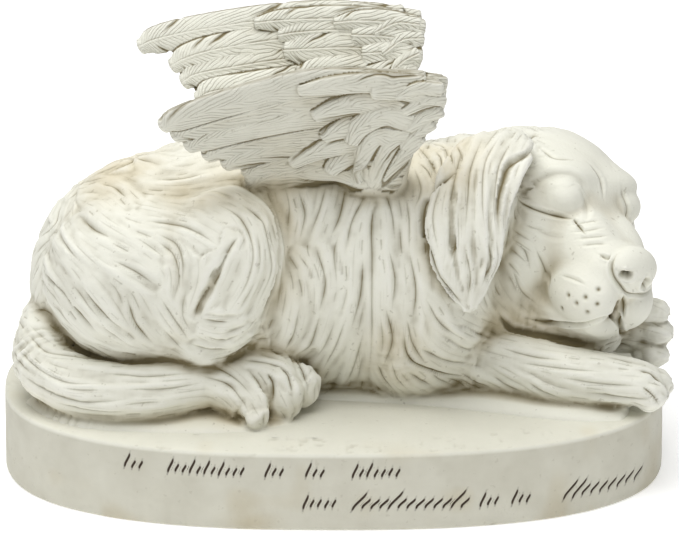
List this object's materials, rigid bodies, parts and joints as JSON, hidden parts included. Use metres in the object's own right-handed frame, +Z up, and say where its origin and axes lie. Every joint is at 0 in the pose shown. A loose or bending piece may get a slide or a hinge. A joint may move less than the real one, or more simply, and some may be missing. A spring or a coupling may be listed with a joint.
{
  "type": "memorial statue",
  "caption": "Cast resin memorial statue: a sleeping puppy with a pair of raised feathered wings lies on an oval base, its head on its foreleg and its tail curled to its hind foot.",
  "frame": {"origin": "centre of the base's underside, where the statue stands", "axes": "+X along the base's length towards the dog's head, -Y towards the side the dog's face and foot turn to, +Z up"},
  "size_m": [0.2334, 0.1301, 0.1581],
  "materials": {
    "cast_resin": "matt aged ivory resin with a brown wash in the carving"
  },
  "bodies": {
    "root": {"winged_dog_statue": "cast_resin"}
  },
  "joints": []
}
